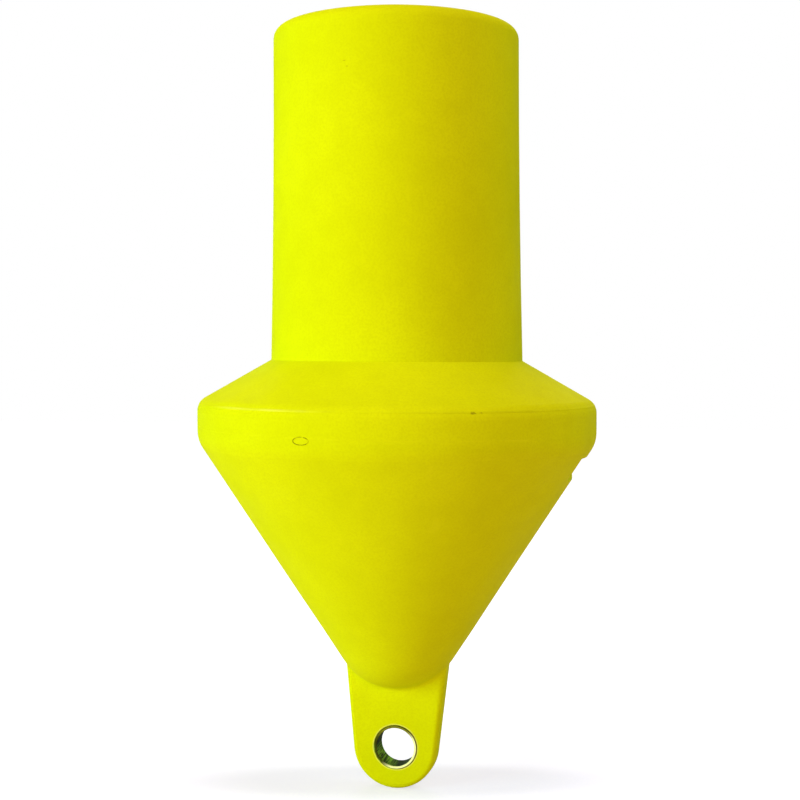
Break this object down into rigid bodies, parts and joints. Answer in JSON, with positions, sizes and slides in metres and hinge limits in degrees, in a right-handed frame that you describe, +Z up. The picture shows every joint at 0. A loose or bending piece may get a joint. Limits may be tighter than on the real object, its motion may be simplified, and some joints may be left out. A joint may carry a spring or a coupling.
{
  "type": "navigation buoy",
  "caption": "Yellow can-topped marker buoy: moulded float with a tall cylindrical daymark, conical underside, and a mooring lug whose eye is lined by a metal tube.",
  "frame": {"origin": "on the buoy's axis at the waterline, the lower corner of the float band", "axes": "+Z up along the buoy's axis, the mooring eye's bore along Y, the lug's width along X"},
  "size_m": [0.4, 0.3998, 0.7654],
  "materials": {
    "hull_plastic": "semi-matt rotomoulded polyethylene, lemon yellow",
    "plug_plastic": "moulded polyethylene, same yellow",
    "bush_metal": "drawn steel tube, slightly dulled by use"
  },
  "bodies": {
    "root": {"hull": "hull_plastic", "fill_plug": "plug_plastic", "eye_bush": "bush_metal"}
  },
  "joints": []
}
